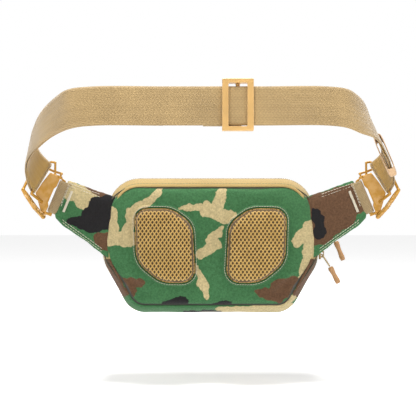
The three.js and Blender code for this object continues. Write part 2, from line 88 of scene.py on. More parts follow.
STRAP = [
    ((-193, -57, 136), (-177, -41, 167)), ((-197, -67, 146), (-187, -53, 179)),
    ((-197, -81, 158), (-191, -70, 194)), ((-189, -107, 170), (-182, -103, 207)),
    ((-175, -131, 180), (-170, -129, 218)), ((-157, -151, 190), (-154, -151, 228)),
    ((-136, -168, 196), (-139, -168, 234)), ((-113, STRAP_Y, 198), (-113, STRAP_Y, 236)),
    ((-46, STRAP_Y, 198), (-46, STRAP_Y, 236)), ((50, STRAP_Y, 198), (50, STRAP_Y, 236)),
    ((112, STRAP_Y, 198), (112, STRAP_Y, 236)), ((132, -171, 196), (132, -171, 234)),
    ((147, -163, 191), (144, -158, 229)), ((160, -151, 188), (154, -138, 223)),
    ((171, -134, 183), (161, -116, 215)), ((180, -111, 176), (168, -95, 208)),
    ((190, -87, 164), (177, -74, 198)), ((197, -67, 146), (187, -53, 179)),
    ((193, -57, 136), (177, -41, 167)),
]
LAST = len(STRAP) - 1
# Places along the strap, counted in its stations.
RETURN_END = 8
TAIL_START = 15.4
KEEPER_STATION = (16 + 16.7) / 2
FOLD_CLEARANCE = 0.04
BUCKLE_REACH = 1.5
PLY_MAIN = -0.85
PLY_INNER = 1
SPREAD = 5.2
FLOOR_Z = -0.078  # metres

# ---- Small vector and mesh tools ----


def rounded(corners, steps):
    """Rounded corners (x, z, radius) as rows of x, z and the outward normal."""
    rows = []
    count = len(corners)
    for i, (x, z, radius) in enumerate(corners):
        at = Vector((x, z))
        back = (Vector(corners[i - 1][:2]) - at).normalized()
        ahead = (Vector(corners[(i + 1) % count][:2]) - at).normalized()
        half = math.acos(max(-1, min(1, back.dot(ahead)))) / 2
        centre = at + (back + ahead).normalized() * (radius / math.sin(half))
        start = at + back * (radius / math.tan(half)) - centre
        angle = math.atan2(start.y, start.x)
        turn = math.pi - 2 * half
        if back.x * ahead.y - back.y * ahead.x > 0:
            turn = -turn
        for s in range(steps + 1):
            a = angle + turn * s / steps
            nx, nz = math.cos(a), math.sin(a)
            rows.append((centre.x + nx * radius, centre.y + nz * radius, nx, nz))
    return rows


def resampled(rows, spacing):
    """The same outline with points at an even spacing along its straight runs too."""
    dense = []
    for i, a in enumerate(rows):
        b = rows[(i + 1) % len(rows)]
        length = math.hypot(b[0] - a[0], b[1] - a[1])
        pieces = max(1, round(length / spacing))
        for s in range(pieces):
            t = s / pieces
            nx = a[2] + (b[2] - a[2]) * t
            nz = a[3] + (b[3] - a[3]) * t
            size = math.hypot(nx, nz) or 1
            dense.append((a[0] + (b[0] - a[0]) * t, a[1] + (b[1] - a[1]) * t, nx / size, nz / size))
    return dense


def mirrored(corners):
    return [(-x, z, radius) for x, z, radius in reversed(corners)]


PANEL = rounded(PANEL_CORNERS + mirrored(PANEL_CORNERS), 10)


def bulge(y):
    return BULGE * min(1, FLAT_SHARE * (1 - abs(y / HALF_DEPTH) ** FALL_POWER))


def loft(count, ring, closed=False):
    """Wall faces between count rings, each of ring points in order."""
    faces = []
    for i in range(count if closed else count - 1):
        j = (i + 1) % count
        for s in range(ring):
            t = (s + 1) % ring
            faces.append((i * ring + s, i * ring + t, j * ring + t, j * ring + s))
    return faces


def ends(count, ring, flip=False):
    """The two faces that close a loft."""
    first, last = tuple(range(ring)), tuple(range((count - 1) * ring, count * ring))
    return [first[::-1], last] if flip else [first, last[::-1]]


def new_object(name, points, faces, material, smooth=True):
    """A mesh object from points in millimetres."""
    mesh = bpy.data.meshes.new(name)
    mesh.from_pydata([[c * MM for c in p] for p in points], [], faces)
    mesh.validate()
    work = bmesh.new()
    work.from_mesh(mesh)
    bmesh.ops.recalc_face_normals(work, faces=work.faces)
    work.to_mesh(mesh)
    work.free()
    for face in mesh.polygons:
        face.use_smooth = smooth
    made = bpy.data.objects.new(name, mesh)
    bpy.context.scene.collection.objects.link(made)
    made.data.materials.append(material)
    return made


def apply_modifiers(obj):
    depsgraph = bpy.context.evaluated_depsgraph_get()
    mesh = bpy.data.meshes.new_from_object(obj.evaluated_get(depsgraph), depsgraph=depsgraph)
    obj.modifiers.clear()
    obj.data = mesh
    return obj


def tube_points(path, radius, sides=8):
    """A closed round tube along a path of Vectors in millimetres: its points and faces."""
    points = []
    up = Vector((0.123, 0.37, 0.92))  # along none of the paths used here
    for i, p in enumerate(path):
        ahead = path[min(i + 1, len(path) - 1)] - path[max(i - 1, 0)]
        ahead.normalize()
        a = ahead.cross(up)
        if a.length < 1e-4:
            a = ahead.cross(Vector((1, 0, 0)))
        a.normalize()
        b = ahead.cross(a)
        for s in range(sides):
            angle = 2 * math.pi * s / sides
            points.append(p + a * math.cos(angle) * radius + b * math.sin(angle) * radius)
    return points, loft(len(path), sides) + ends(len(path), sides)


class Batch:
    """Many small closed shapes gathered into one mesh."""

    def __init__(self):
        self.points, self.faces = [], []

    def add(self, points, faces):
        base = len(self.points)
        self.points += [tuple(p) for p in points]
        self.faces += [tuple(base + i for i in f) for f in faces]

    def tube(self, path, radius, sides=8):
        self.add(*tube_points([Vector(p) for p in path], radius, sides))

    def make(self, name, material, smooth=True):
        return new_object(name, self.points, self.faces, material, smooth)


def stitch_line(batch, path, normal, pitch=3.4, length=2.5, radius=0.28, lift=0.1):
    """Separate thread stitches along a path of Vectors; each dips into the cloth at its ends."""
    travelled, lengths = 0, [0]
    for a, b in zip(path, path[1:]):
        travelled += (b - a).length
        lengths.append(travelled)

    def at(distance):
        distance = max(0, min(travelled, distance))
        for i in range(len(path) - 1):
            if lengths[i + 1] >= distance:
                span = max(1e-6, lengths[i + 1] - lengths[i])
                return path[i].lerp(path[i + 1], (distance - lengths[i]) / span)
        return path[-1]

    for k in range(int(travelled / pitch)):
        start = k * pitch + (pitch - length) / 2
        pts = []
        for t in (0, 0.25, 0.5, 0.75, 1):
            spot = at(start + length * t)
            n = normal(spot) if callable(normal) else normal
            pts.append(spot + n * (lift + radius * (1.1 * math.sin(math.pi * t) - 0.4)))
        batch.tube(pts, radius, 6)


# ---- Materials ----


class Nodes:
    """Short names for building a node material."""

    def __init__(self, name, roughness=0.8, sheen=0.0, metallic=0.0, specular=0.4):
        self.material = bpy.data.materials.new(name)
        self.material.use_nodes = True
        self.tree = self.material.node_tree
        self.shader = self.tree.nodes["Principled BSDF"]
        self.shader.inputs["Roughness"].default_value = roughness
        self.shader.inputs["Metallic"].default_value = metallic
        self.shader.inputs["Specular IOR Level"].default_value = specular
        self.shader.inputs["Sheen Weight"].default_value = sheen
        self.shader.inputs["Sheen Roughness"].default_value = 0.5
        self.coordinates = self.tree.nodes.new("ShaderNodeTexCoord").outputs["Object"]

    def link(self, source, target):
        self.tree.links.new(source, target)

    def feed(self, socket, value):
        if isinstance(value, bpy.types.NodeSocket):
            self.link(value, socket)
        elif isinstance(value, tuple) and len(value) == 3 and socket.type == "RGBA":
            socket.default_value = (*value, 1)
        else:
            socket.default_value = value

    def math(self, operation, *values, clamp=False):
        node = self.tree.nodes.new("ShaderNodeMath")
        node.operation = operation
        node.use_clamp = clamp
        for socket, value in zip(node.inputs, values):
            self.feed(socket, value)
        return node.outputs[0]

    def weighted(self, *terms):
        """A sum of (value, weight) pairs."""
        total = None
        for value, weight in terms:
            part = self.math("MULTIPLY", value, weight)
            total = part if total is None else self.math("ADD", total, part)
        return total

    def vector(self, operation, a, b=None):
        node = self.tree.nodes.new("ShaderNodeVectorMath")
        node.operation = operation
        self.feed(node.inputs[0], a)
        if b is not None:
            self.feed(node.inputs[1], b)
        return node.outputs["Vector"]

    def axes(self, source=None):
        node = self.tree.nodes.new("ShaderNodeSeparateXYZ")
        self.link(source or self.coordinates, node.inputs[0])
        return node.outputs

    def noise(self, scale, detail=2.0, source=None, output="Fac"):
        node = self.tree.nodes.new("ShaderNodeTexNoise")
        node.inputs["Scale"].default_value = scale
        node.inputs["Detail"].default_value = detail
        self.link(source or self.coordinates, node.inputs["Vector"])
        return node.outputs[output]

    def mix(self, factor, a, b):
        node = self.tree.nodes.new("ShaderNodeMix")
        node.data_type = "RGBA"
        self.feed(node.inputs["Factor"], factor)
        self.feed(node.inputs["A"], a)
        self.feed(node.inputs["B"], b)
        return node.outputs["Result"]

    def step(self, value, low, high):
        """0 below low, 1 above high."""
        node = self.tree.nodes.new("ShaderNodeMapRange")
        node.inputs["From Min"].default_value = low
        node.inputs["From Max"].default_value = high
        self.feed(node.inputs["Value"], value)
        return node.outputs["Result"]

    def wave(self, value, pitch):
        """A sine between 0 and 1 along a coordinate in metres."""
        turns = self.math("MULTIPLY", value, 2 * math.pi / pitch)
        return self.math("MULTIPLY_ADD", self.math("SINE", turns), 0.5, 0.5)

    def bump(self, height, strength, distance):
        node = self.tree.nodes.new("ShaderNodeBump")
        node.inputs["Strength"].default_value = strength
        node.inputs["Distance"].default_value = distance
        self.feed(node.inputs["Height"], height)
        self.link(node.outputs["Normal"], self.shader.inputs["Normal"])

    def finish(self, colour, roughness=None):
        self.feed(self.shader.inputs["Base Color"], colour)
        if roughness is not None:
            self.feed(self.shader.inputs["Roughness"], roughness)
        return self.material


GREEN = (0.052, 0.165, 0.062)
TAN = (0.54, 0.44, 0.23)
BROWN = (0.128, 0.066, 0.034)
BLACK = (0.014, 0.013, 0.014)

# Listed strokes, as (x, z, radius) at one end and at the other, in millimetres.
TAN_BACK = [
    (-57, 136, 5, -73, 123, 4.5), (-73, 123, 4.5, -87, 115, 4.5), (-87, 115, 4.5, -92, 95, 6),
    (-112, 113, 7.5, -111, 83, 8), (-111, 84, 8, -87, 84, 8), (-94, 90, 5, -86, 86, 6),
    (13.5, 141, 4.5, 9, 121, 7), (-4.5, 121, 6, 17, 107, 6),
    (-8, 114, 5, 14, 109, 6), (17, 111, 6, 27, 111, 3),
    (-33, 118.2, 1.5, -14, 119.8, 4.5), (13.5, 96, 3, 0, 81, 6), (6, 77, 6, -11, 67, 6),
    (-17, 54, 3, -7.6, 31, 6), (-7.6, 31, 6, -3.7, 19, 2.5), (73, 143.5, 1.5, 101, 142, 3),
    (112, 98, 7, 96, 81, 6.5), (112, 86, 9, 110, 73, 7), (110, 73, 7, 103, 45, 4), (103, 45, 4, 94, 31, 2),
]
BROWN_BACK = [
    (-100, 35, 7, -78, 35, 5), (-100, 33, 7, -89, 26, 6),
    (53, 24.7, 4, 73, 21.6, 8), (73, 28, 9, 92, 37, 6), (84, 28, 9, 76, 20, 7),
]
BLACK_BACK = [(-50.5, 13, 4.5, -30, 13.5, 6), (-2, 10, 2, 19, 11, 4.5)]
TAN_GUSSET = [(12, 3, 5, 90, 3, 9), (60, 6, 8, 96, 20, 3)]
BROWN_GUSSET = [(-122, 66, 8, -98, 24, 6), (122, 66, 9, 100, 24, 8)]
BLACK_GUSSET = [(-28, 0, 3.5, 10, -1, 4)]
TAN_LEFT = [(-160, 146, 7, -140, 128, 11), (-154, 136, 10, -134, 132, 8)]
BROWN_LEFT = [(-136, 142, 4, -112, 131, 8), (-124, 84, 7, -116, 80, 10)]
BLACK_LEFT = [(-130, 122, 6, -110, 128, 7), (-130, 108, 13, -112, 108, 15), (-155, 104, 5, -130, 100, 10)]
TAN_RIGHT = [(112, 138, 3, 122, 140, 3)]
BROWN_RIGHT = [(120, 118, 16, 158, 128, 18), (118, 90, 14, 150, 108, 12)]
BLACK_RIGHT = [(118, 112, 6, 122, 90, 7)]
PLACED_DEPTH = -18


def patches(kit, x, z, strokes):
    """1 inside any of the tapered strokes, else 0."""
    nearest = None
    for x0, z0, r0, x1, z1, r1 in strokes:
        run, rise = (x1 - x0) * MM, (z1 - z0) * MM
        square = run * run + rise * rise
        dx = kit.math("SUBTRACT", x, x0 * MM)
        dz = kit.math("SUBTRACT", z, z0 * MM)
        along = kit.weighted((dx, run / square), (dz, rise / square))
        along = kit.math("MULTIPLY", along, 1.0, clamp=True)
        ex = kit.math("SUBTRACT", dx, kit.math("MULTIPLY", along, run))
        ez = kit.math("SUBTRACT", dz, kit.math("MULTIPLY", along, rise))
        away = kit.math("SQRT", kit.weighted((ex, ex), (ez, ez)))
        radius = kit.math("MULTIPLY_ADD", along, (r1 - r0) * MM, r0 * MM)
        outside = kit.math("SUBTRACT", away, radius)
        nearest = outside if nearest is None else kit.math("SMOOTH_MIN", nearest, outside, 0.002)
    return kit.step(kit.math("MULTIPLY", nearest, -1), -0.0003, 0.0003)


def camo(name, placed=None):
    """Four-colour woodland cloth over a plain weave: placed patches near the wearer, and noise behind."""
    kit = Nodes(name, roughness=0.92, sheen=0.12, specular=0.2)
    wobble = kit.vector("SCALE", kit.noise(60, 3, output="Color"))
    wobble.node.inputs["Scale"].default_value = 0.008
    warped = kit.vector("ADD", kit.coordinates, wobble)
    stretched = kit.vector("MULTIPLY", warped, (1.0, 1.0, 1.5))

    def blob(offset, low):
        shifted = kit.vector("ADD", stretched, offset)
        return kit.step(kit.noise(26, 1.2, shifted), low, low + 0.006)

    tan = blob((0, 0, 0), 0.53)
    brown = blob((3.1, 1.7, 0.6), 0.56)
    black = blob((7.3, 4.2, 2.8), 0.62)
    if placed:
        centred = kit.vector("SUBTRACT", kit.noise(95, 3.5, output="Color"), (0.5, 0.5, 0.5))
        ragged = kit.vector("SCALE", centred)
        ragged.node.inputs["Scale"].default_value = 0.011
        x, _, z = kit.axes(kit.vector("ADD", kit.coordinates, ragged))
        depth = kit.step(kit.axes()[1], (PLACED_DEPTH - 1) * MM, (PLACED_DEPTH + 1) * MM)
        tan, brown, black = (
            kit.weighted((free, depth), (patches(kit, x, z, strokes), kit.math("SUBTRACT", 1, depth)))
            for free, strokes in zip((tan, brown, black), placed)
        )
    colour = kit.mix(black, kit.mix(brown, kit.mix(tan, GREEN, TAN), BROWN), BLACK)
    x, y, z = kit.axes()
    diagonal = kit.math("ADD", x, kit.math("MULTIPLY", y, 0.8))
    warp = kit.wave(diagonal, 0.0011)
    weft = kit.wave(z, 0.0011)
    weave = kit.math("MAXIMUM", kit.math("MULTIPLY", warp, 0.9), weft)
    grain = kit.noise(520, 3)
    shade = kit.math("MULTIPLY", kit.step(weave, -0.1, 1.3), kit.step(grain, 0.1, 0.95))
    tint = kit.mix(shade, (0.55, 0.55, 0.55), (2.1, 2.1, 2.1))
    node = kit.tree.nodes.new("ShaderNodeMix")
    node.data_type, node.blend_type = "RGBA", "MULTIPLY"
    node.inputs["Factor"].default_value = 1
    kit.feed(node.inputs["A"], colour)
    kit.feed(node.inputs["B"], tint)
    kit.bump(kit.math("ADD", weave, kit.math("MULTIPLY", grain, 1.2)), 0.6, 0.0005)
    return kit.finish(node.outputs["Result"])


def cloth(name, dark, light, pitch=0.0009, sheen=0.2):
    """Plain woven cloth or tape: a fine two-way weave with uneven colour."""
    kit = Nodes(name, roughness=0.85, sheen=sheen, specular=0.3)
    x, y, z = kit.axes()
    flat = kit.math("ADD", x, y)
    weave = kit.math("MAXIMUM", kit.wave(flat, pitch), kit.wave(z, pitch * 1.1))
    blotch = kit.noise(18, 4)
    fibre = kit.noise(1200, 2)
    value = kit.weighted((weave, 0.45), (fibre, 0.35), (blotch, 0.35))
    kit.bump(kit.math("ADD", weave, kit.math("MULTIPLY", fibre, 0.4)), 0.4, 0.0003)
    return kit.finish(kit.mix(kit.step(value, 0.25, 0.95), dark, light))


def webbing_material(name, dark, light):
    """Webbing: ribs across the strap and yarn lines along it, read from the strip's UV map in metres."""
    kit = Nodes(name, roughness=0.52, sheen=0.35, specular=0.5)
    uv = kit.tree.nodes.new("ShaderNodeUVMap")
    uv.uv_map = "strip"
    along, across, _ = kit.axes(uv.outputs["UV"])
    cycle = kit.math("FRACT", kit.math("MULTIPLY", across, 1 / 0.0048))
    zigzag = kit.math("ABSOLUTE", kit.math("SUBTRACT", cycle, 0.5))
    slant = kit.math("ADD", along, kit.math("MULTIPLY", zigzag, 0.0022))
    ribs = kit.wave(slant, 0.00135)
    yarn = kit.wave(across, 0.0016)
    columns = kit.wave(across, 0.0096)
    blotch = kit.noise(22, 4)
    fibre = kit.noise(1500, 2)
    value = kit.weighted((ribs, 0.32), (yarn, 0.12), (columns, 0.03), (fibre, 0.28), (blotch, 0.32))
    kit.bump(kit.math("ADD", ribs, kit.math("MULTIPLY", yarn, 0.4)), 0.55, 0.0004)
    return kit.finish(kit.mix(kit.step(value, 0.25, 0.85), dark, light), kit.step(blotch, -0.6, 1.4))


def coated(name, colour, edge_colour, roughness=0.36, metallic=0.35):
    """Satin powder coat, lighter in noisy patches along its sharp convex edges."""
    kit = Nodes(name, roughness=roughness, metallic=metallic, specular=0.5)
    geometry = kit.tree.nodes.new("ShaderNodeNewGeometry")
    edge = kit.step(geometry.outputs["Pointiness"], 0.52, 0.6)
    speckle = kit.noise(700, 3)
    cloud = kit.noise(35, 3)
    edge_patches = kit.math("MULTIPLY", edge, kit.step(kit.noise(160, 4), 0.35, 0.6))
    darker, lighter = (tuple(c * share for c in colour) for share in (0.88, 1.1))
    base = kit.mix(kit.step(cloud, 0.3, 0.7), darker, lighter)
    kit.bump(speckle, 0.12, 0.0002)
    kit.shader.inputs["Coat Weight"].default_value = 0.06
    kit.shader.inputs["Coat Roughness"].default_value = 0.3
    rough = kit.math("ADD", kit.math("MULTIPLY", cloud, 0.14), roughness - 0.07)
    return kit.finish(kit.mix(edge_patches, base, edge_colour), rough)


def moulded(name, dark, light):
    """Moulded rubbery plastic with a fine grain."""
    kit = Nodes(name, roughness=0.5, specular=0.45)
    grain = kit.noise(800, 3)
    kit.bump(grain, 0.2, 0.0002)
    return kit.finish(kit.mix(kit.noise(90, 3), dark, light), kit.step(grain, -0.8, 1.6))


M_BACK = camo("camo_back", placed=(TAN_BACK, BROWN_BACK, BLACK_BACK))
M_GUSSET = camo("camo_gusset", placed=(TAN_GUSSET, BROWN_GUSSET, BLACK_GUSSET))
M_CAMO = camo("camo_cloth")
M_LEFT = camo("camo_left_wing", placed=(TAN_LEFT, BROWN_LEFT, BLACK_LEFT))
M_RIGHT = camo("camo_right_wing", placed=(TAN_RIGHT, BROWN_RIGHT, BLACK_RIGHT))
M_TAPE = cloth("zipper_tape", (0.24, 0.15, 0.045), (0.56, 0.4, 0.15), pitch=0.0008)
M_COIL = moulded("zipper_coil", (0.22, 0.15, 0.06), (0.42, 0.31, 0.15))
M_PIPING = cloth("piping", (0.02, 0.024, 0.014), (0.09, 0.085, 0.05))
M_THREAD = cloth("thread", (0.5, 0.44, 0.32), (0.85, 0.8, 0.66), pitch=0.0004)
M_GREEN_THREAD = cloth("green_thread", (0.1, 0.15, 0.07), (0.3, 0.36, 0.2), pitch=0.0004)
M_LINING = cloth("lining", (0.05, 0.055, 0.045), (0.13, 0.13, 0.11))
M_MESH_BASE = cloth("spacer_base", (0.05, 0.027, 0.008), (0.14, 0.08, 0.025))
M_STRAP = webbing_material("webbing", (0.19, 0.115, 0.036), (0.64, 0.44, 0.19))
# painted shade: a darker copy of the webbing for the loops round the buckle bars, standing for their shaded
# side
M_LOOP_SHADED = webbing_material("loop_webbing_painted_shade", (0.14, 0.09, 0.035), (0.5, 0.36, 0.17))
# painted shade: a darker, more yellow copy of the same webbing for the return and tail plies, where they lie
# in shade
M_STRAP_SHADED = webbing_material("webbing_painted_shade", (0.17, 0.085, 0.012), (0.56, 0.34, 0.07))
M_ELASTIC = cloth("elastic", (0.42, 0.25, 0.12), (0.74, 0.5, 0.29), pitch=0.0012, sheen=0.3)
M_CORD = cloth("cord", (0.2, 0.14, 0.06), (0.6, 0.46, 0.26), pitch=0.0006)
M_GRIP = moulded("pull_grip", (0.33, 0.165, 0.06), (0.55, 0.31, 0.14))
M_METAL = coated("hardware", (0.5, 0.25, 0.03), (0.86, 0.6, 0.33))
# painted light: a lighter copy of the hardware coat for the tri-glide, which faces the light
M_GLIDE_LIT = coated("glide_metal_painted_light", (0.74, 0.45, 0.16), (0.92, 0.7, 0.45), metallic=0.2)
M_SLIDER = coated("slider_metal", (0.34, 0.23, 0.1), (0.7, 0.55, 0.35), metallic=0.5)


def place(obj, body, slot, *nodes, blend=None):
    """Hides the CAD parts that a finished piece stands for and parents it to the body it moves with; with
    blend, its transform is only baked in. slot is not used.
    """
    if nodes:
        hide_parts(*nodes)
    if blend:
        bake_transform(obj)
    else:
        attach(obj, body)
    return obj


# ---- Soft shapes by cloth simulation ----
REMESH_VOXEL = 4.5
SIM_FRAMES = 20


def outline_points(rows, inset, y):
    return [(x - nx * inset, y, z - nz * inset) for x, z, nx, nz in rows]


def puffed(name, rings, material, cap, voxel=REMESH_VOXEL, pressure=4.0):
    """A stuffed form: lofted rings, remeshed, then inflated with at most cap millimetres of travel."""
    count = len(rings[0])
    points = [p for ring in rings for p in ring]
    faces = loft(len(rings), count) + ends(len(rings), count, flip=True)
    made = new_object(name, points, faces, material)
    remesh = made.modifiers.new("remesh", "REMESH")
    remesh.mode = "VOXEL"
    remesh.voxel_size = voxel * MM
    apply_modifiers(made)
    before = np.array([v.co for v in made.data.vertices])
    cloth_sim = made.modifiers.new("cloth", "CLOTH")
    settings = cloth_sim.settings
    settings.use_pressure = True
    settings.uniform_pressure_force = pressure
    settings.effector_weights.gravity = 0
    settings.mass = 0.15
    settings.tension_stiffness = 25
    settings.compression_stiffness = 25
    cloth_sim.point_cache.frame_start = 1
    cloth_sim.point_cache.frame_end = SIM_FRAMES
    for step in range(1, SIM_FRAMES + 1):
        bpy.context.scene.frame_set(step)
        depsgraph = bpy.context.evaluated_depsgraph_get()
        after = np.array([v.co for v in made.evaluated_get(depsgraph).data.vertices])
    made.modifiers.clear()
    bpy.context.scene.frame_set(1)
    moved = after - before
    size = np.linalg.norm(moved, axis=1, keepdims=True)
    moved *= np.minimum(1, cap * MM / np.maximum(size, 1e-9))
    for vertex, co in zip(made.data.vertices, before + moved):
        vertex.co = co
    finer = made.modifiers.new("finer", "SUBSURF")
    finer.levels = finer.render_levels = 1
    apply_modifiers(made)
    for face in made.data.polygons:
        face.use_smooth = True
    return made


def clamp_depth(obj, y_limit):
    """Keeps a stuffed form on the wearer's side of what it rests on."""
    for vertex in obj.data.vertices:
        vertex.co.y = min(vertex.co.y, y_limit * MM)


# ---- Bag body ----
OPEN_START = (0, -0.012, 0.062)
OPEN_END = (0, 0.0081, 0.0768)
MAIN_FOLD = ("bag_back", "bag_front", OPEN_START, OPEN_END)
GUSSET_FOLD = ("bag_back", "bag_front", (0, -0.012, 0.03), (0, 0.022, 0.03))
POCKET_FOLD = ("bag_front", "pocket_front", (0, 0.03, 0.07), (0, 0.03, 0.105))


def chain(low=None, high=None, spacing=2.5):
    """The stretch of the panel outline above low or below high, and whether it closes on itself."""
    rows = resampled(PANEL, spacing)
    keep = [(low is None or r[1] > low) and (high is None or r[1] < high) for r in rows]
    if all(keep):
        return rows, True
    start = next(i for i in range(len(rows)) if keep[i] and not keep[i - 1])
    kept = []
    for step in range(len(rows)):
        i = (start + step) % len(rows)
        if not keep[i]:
            break
        kept.append(rows[i])

    def at_height(inside, outside, z):
        t = (z - inside[1]) / (outside[1] - inside[1])
        return tuple(a + (b - a) * t for a, b in zip(inside, outside))

    edge = low if low is not None else high
    kept.insert(0, at_height(kept[0], rows[start - 1], edge))
    kept.append(at_height(kept[-1], rows[i], edge))
    return kept, False


WALL = 1.6
WALL_OUTSIDE_FLOOR = 0.05
WALL_INSIDE_FLOOR = 0.2


def gusset_shell(name, y_from, y_to, material, low=None, high=None, steps=8, slack=0.7):
    """A band of the bag's side wall between two depths, with the slight unevenness of sewn cloth."""
    rows, closed = chain(low, high)
    depths = [y_from + (y_to - y_from) * s / steps for s in range(steps + 1)]
    points = []
    ring = 2 * len(depths)
    for x, z, nx, nz in rows:
        for y in depths:
            ease = math.sin(math.pi * (y - y_from) / (y_to - y_from))
            lump = slack * ease * noise.noise(Vector((x, y * 0.6, z)) * 0.045)
            reach = bulge(y) + lump
            points.append((x + nx * reach, y, max(WALL_OUTSIDE_FLOOR, z + nz * reach)))
        for y in reversed(depths):
            reach = bulge(y) - WALL
            points.append((x + nx * reach, y, max(WALL_INSIDE_FLOOR, z + nz * reach)))
    faces = loft(len(rows), ring, closed)
    if not closed:
        faces += ends(len(rows), ring)
    return new_object(name, points, faces, material)


def outline_path(y, out, low=None, high=None, spacing=2.0):
    """A path round the bag's wall at one depth, standing out by out from it."""
    rows, closed = chain(low, high, spacing)
    path = [Vector((x + nx * out, y, z + nz * out)) for x, z, nx, nz in rows]
    return path + path[:1] if closed else path


def wall_stitches(batch, y, low=None, high=None, **kwargs):
    rows, _ = chain(low, high, 2.0)
    reach = bulge(y)
    path = [Vector((x + nx * reach, y, z + nz * reach)) for x, z, nx, nz in rows]
    middle = Vector((0, y, 75))

    def outward(p):
        return (p - middle).normalized()

    stitch_line(batch, path, outward, **kwargs)


def zipper_teeth(name, y_centre, side, low):
    """One side of a coil zipper: a rounded loop for each tooth."""
    batch = Batch()
    rows, _ = chain(low, None, 1.55)
    reach = bulge(y_centre)
    for x, z, nx, nz in rows:
        out = Vector((nx, 0, nz))
        base = Vector((x, y_centre, z)) + out * (reach - 0.35)
        batch.tube([
            base + Vector((0, side * 1.6, 0)) - out * 0.3,
            base + Vector((0, side * 1.3, 0)) + out * 0.5,
            base + Vector((0, side * 0.5, 0)) + out * 0.8,
            base + Vector((0, side * 0.18, 0)) + out * 0.1,
        ], 0.42, 6)
    tape, _ = chain(low, None, 2.5)
    points = []
    for x, z, nx, nz in tape:
        for y, r in ((0.25, -0.3), (1.7, -0.3), (1.7, -1.1), (0.25, -1.1)):
            points.append((x + nx * (reach + r), y_centre + side * y, z + nz * (reach + r)))
    batch.add(points, loft(len(tape), 4) + ends(len(tape), 4))
    return batch.make(name, M_COIL)


SEAM_REACH = 6.2
SEAM_TOP = 0.9


def flare(x, z):
    """How far the panel's cloth wraps outwards round the bag's sides, most above the middle."""
    height = max(0, min(1, (z - 30) / 45)) * max(0, min(1, (150 - z) / 22))
    return SEAM_REACH * height * max(0, min(1, (abs(x) - 80) / 20))


def make_back():
    """The padded panel on the wearer's side, with its piping and lining."""
    rows = [(x + nx * flare(x, z), z + nz * SEAM_TOP, nx, nz) for x, z, nx, nz in resampled(PANEL, 4)]
    profile = ((4, -22), (-0.4, -25), (-0.9, -31), (0.6, -34.6))
    rings = [outline_points(rows, inset, y) for inset, y in profile]
    panel = puffed("back_panel_cloth", rings, M_BACK, cap=3.0, voxel=3.2, pressure=3.0)
    place(panel, "bag_back", "camo", "back_panel", "back_foam")
    piping = Batch()
    seam = resampled(PANEL, 2)
    path = [Vector((x + nx * (1.3 + flare(x, z)), -31.2, z + nz * 1.3)) for x, z, nx, nz in seam]
    piping.tube(path + path[:1], 0.75, 8)
    place(piping.make("back_piping", M_PIPING), "bag_back", "camo")
    lining = Batch()
    lining.add(*closed_plate(resampled(PANEL, 6), 4, -23.6, -22.6))
    place(lining.make("back_lining_cloth", M_LINING, smooth=False), "bag_back", "lining", "back_lining")


def binding(name, y, reach, body, fold=None):
    """The bound seam allowance that joins a panel to the wall, inside the bag."""
    rows = resampled(PANEL, 3)
    points = []
    for x, z, nx, nz in rows:
        for out, depth in ((-8, y), (reach, y), (reach, y + 1.6), (-8, y + 1.6)):
            points.append((x + nx * out, depth, z + nz * out))
    ring = new_object(name, points, loft(len(rows), 4, closed=True), M_LINING)
    place(ring, body, "lining", blend=fold)


def closed_plate(rows, inset, y_from, y_to):
    count = len(rows)
    points = outline_points(rows, inset, y_from) + outline_points(rows, inset, y_to)
    return points, loft(2, count) + ends(2, count, flip=True)


